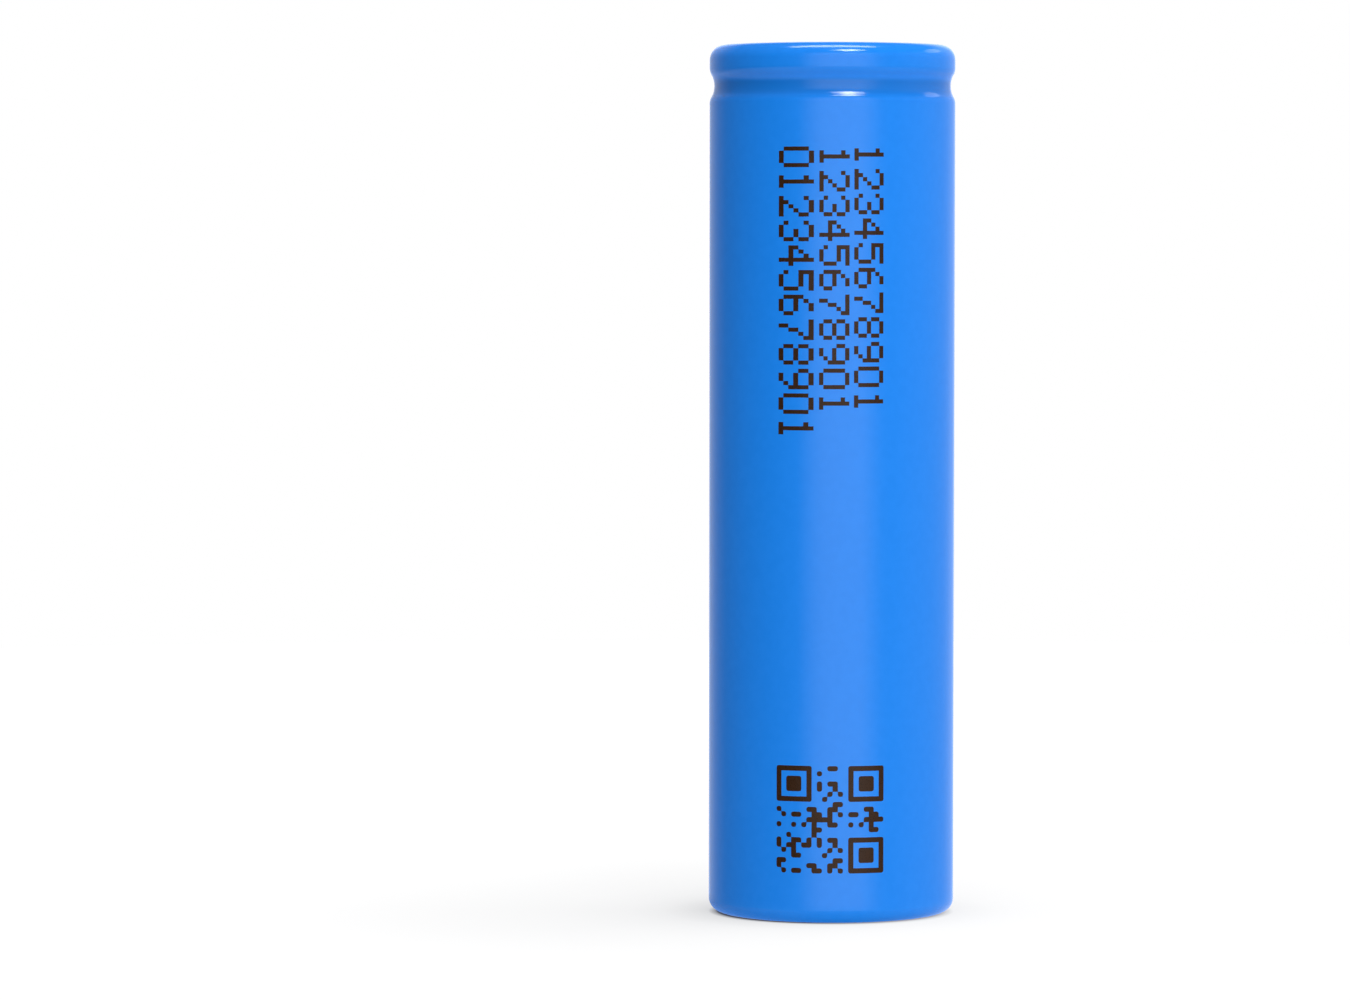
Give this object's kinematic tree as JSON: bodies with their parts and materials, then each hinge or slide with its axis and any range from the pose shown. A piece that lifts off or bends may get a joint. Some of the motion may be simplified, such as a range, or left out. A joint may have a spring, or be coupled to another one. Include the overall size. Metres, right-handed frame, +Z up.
{
  "type": "cylindrical battery cell",
  "caption": "Cylindrical lithium iron phosphate cell in a blue shrink film, with a crimped and beaded top, a flat windowed positive cap and a wound electrode roll inside.",
  "frame": {"origin": "centre of the foot of the cell, on the surface that it stands on", "axes": "+Z points up along the cell's axis, out of the positive cap; +Y passes through the two tabs"},
  "size_m": [0.0184, 0.0184, 0.065],
  "materials": {
    "film": "gloss",
    "fibre_washer": "matte",
    "can_steel": "satin",
    "cap_steel": "satin",
    "ptc_polymer": "matte",
    "soft_aluminium": "satin",
    "tab_aluminium": "satin",
    "tab_nickel": "satin",
    "gasket_plastic": "satin",
    "spacer_plastic": "satin",
    "insulator_sheet": "satin",
    "cathode_coating": "matte",
    "anode_coating": "matte",
    "separator_film": "satin",
    "roll_tape_green": "gloss",
    "tab_tape_amber": "gloss",
    "pin_steel": "satin"
  },
  "bodies": {
    "root": {"sleeve": "film", "top_washer": "fibre_washer", "can": "can_steel", "positive_cap": "cap_steel", "ptc_ring": "ptc_polymer", "vent_disc": "soft_aluminium", "gasket": "gasket_plastic", "cid_spacer": "spacer_plastic", "cid_plate": "soft_aluminium", "positive_tab": "tab_aluminium", "positive_tab_tape": "tab_tape_amber", "top_insulator": "insulator_sheet", "cathode": "cathode_coating", "anode": "anode_coating", "separator_inner": "separator_film", "separator_outer": "separator_film", "roll_tape": "roll_tape_green", "centre_pin": "pin_steel", "negative_tab": "tab_nickel", "negative_tab_tape": "tab_tape_amber", "bottom_insulator": "insulator_sheet"}
  },
  "joints": []
}
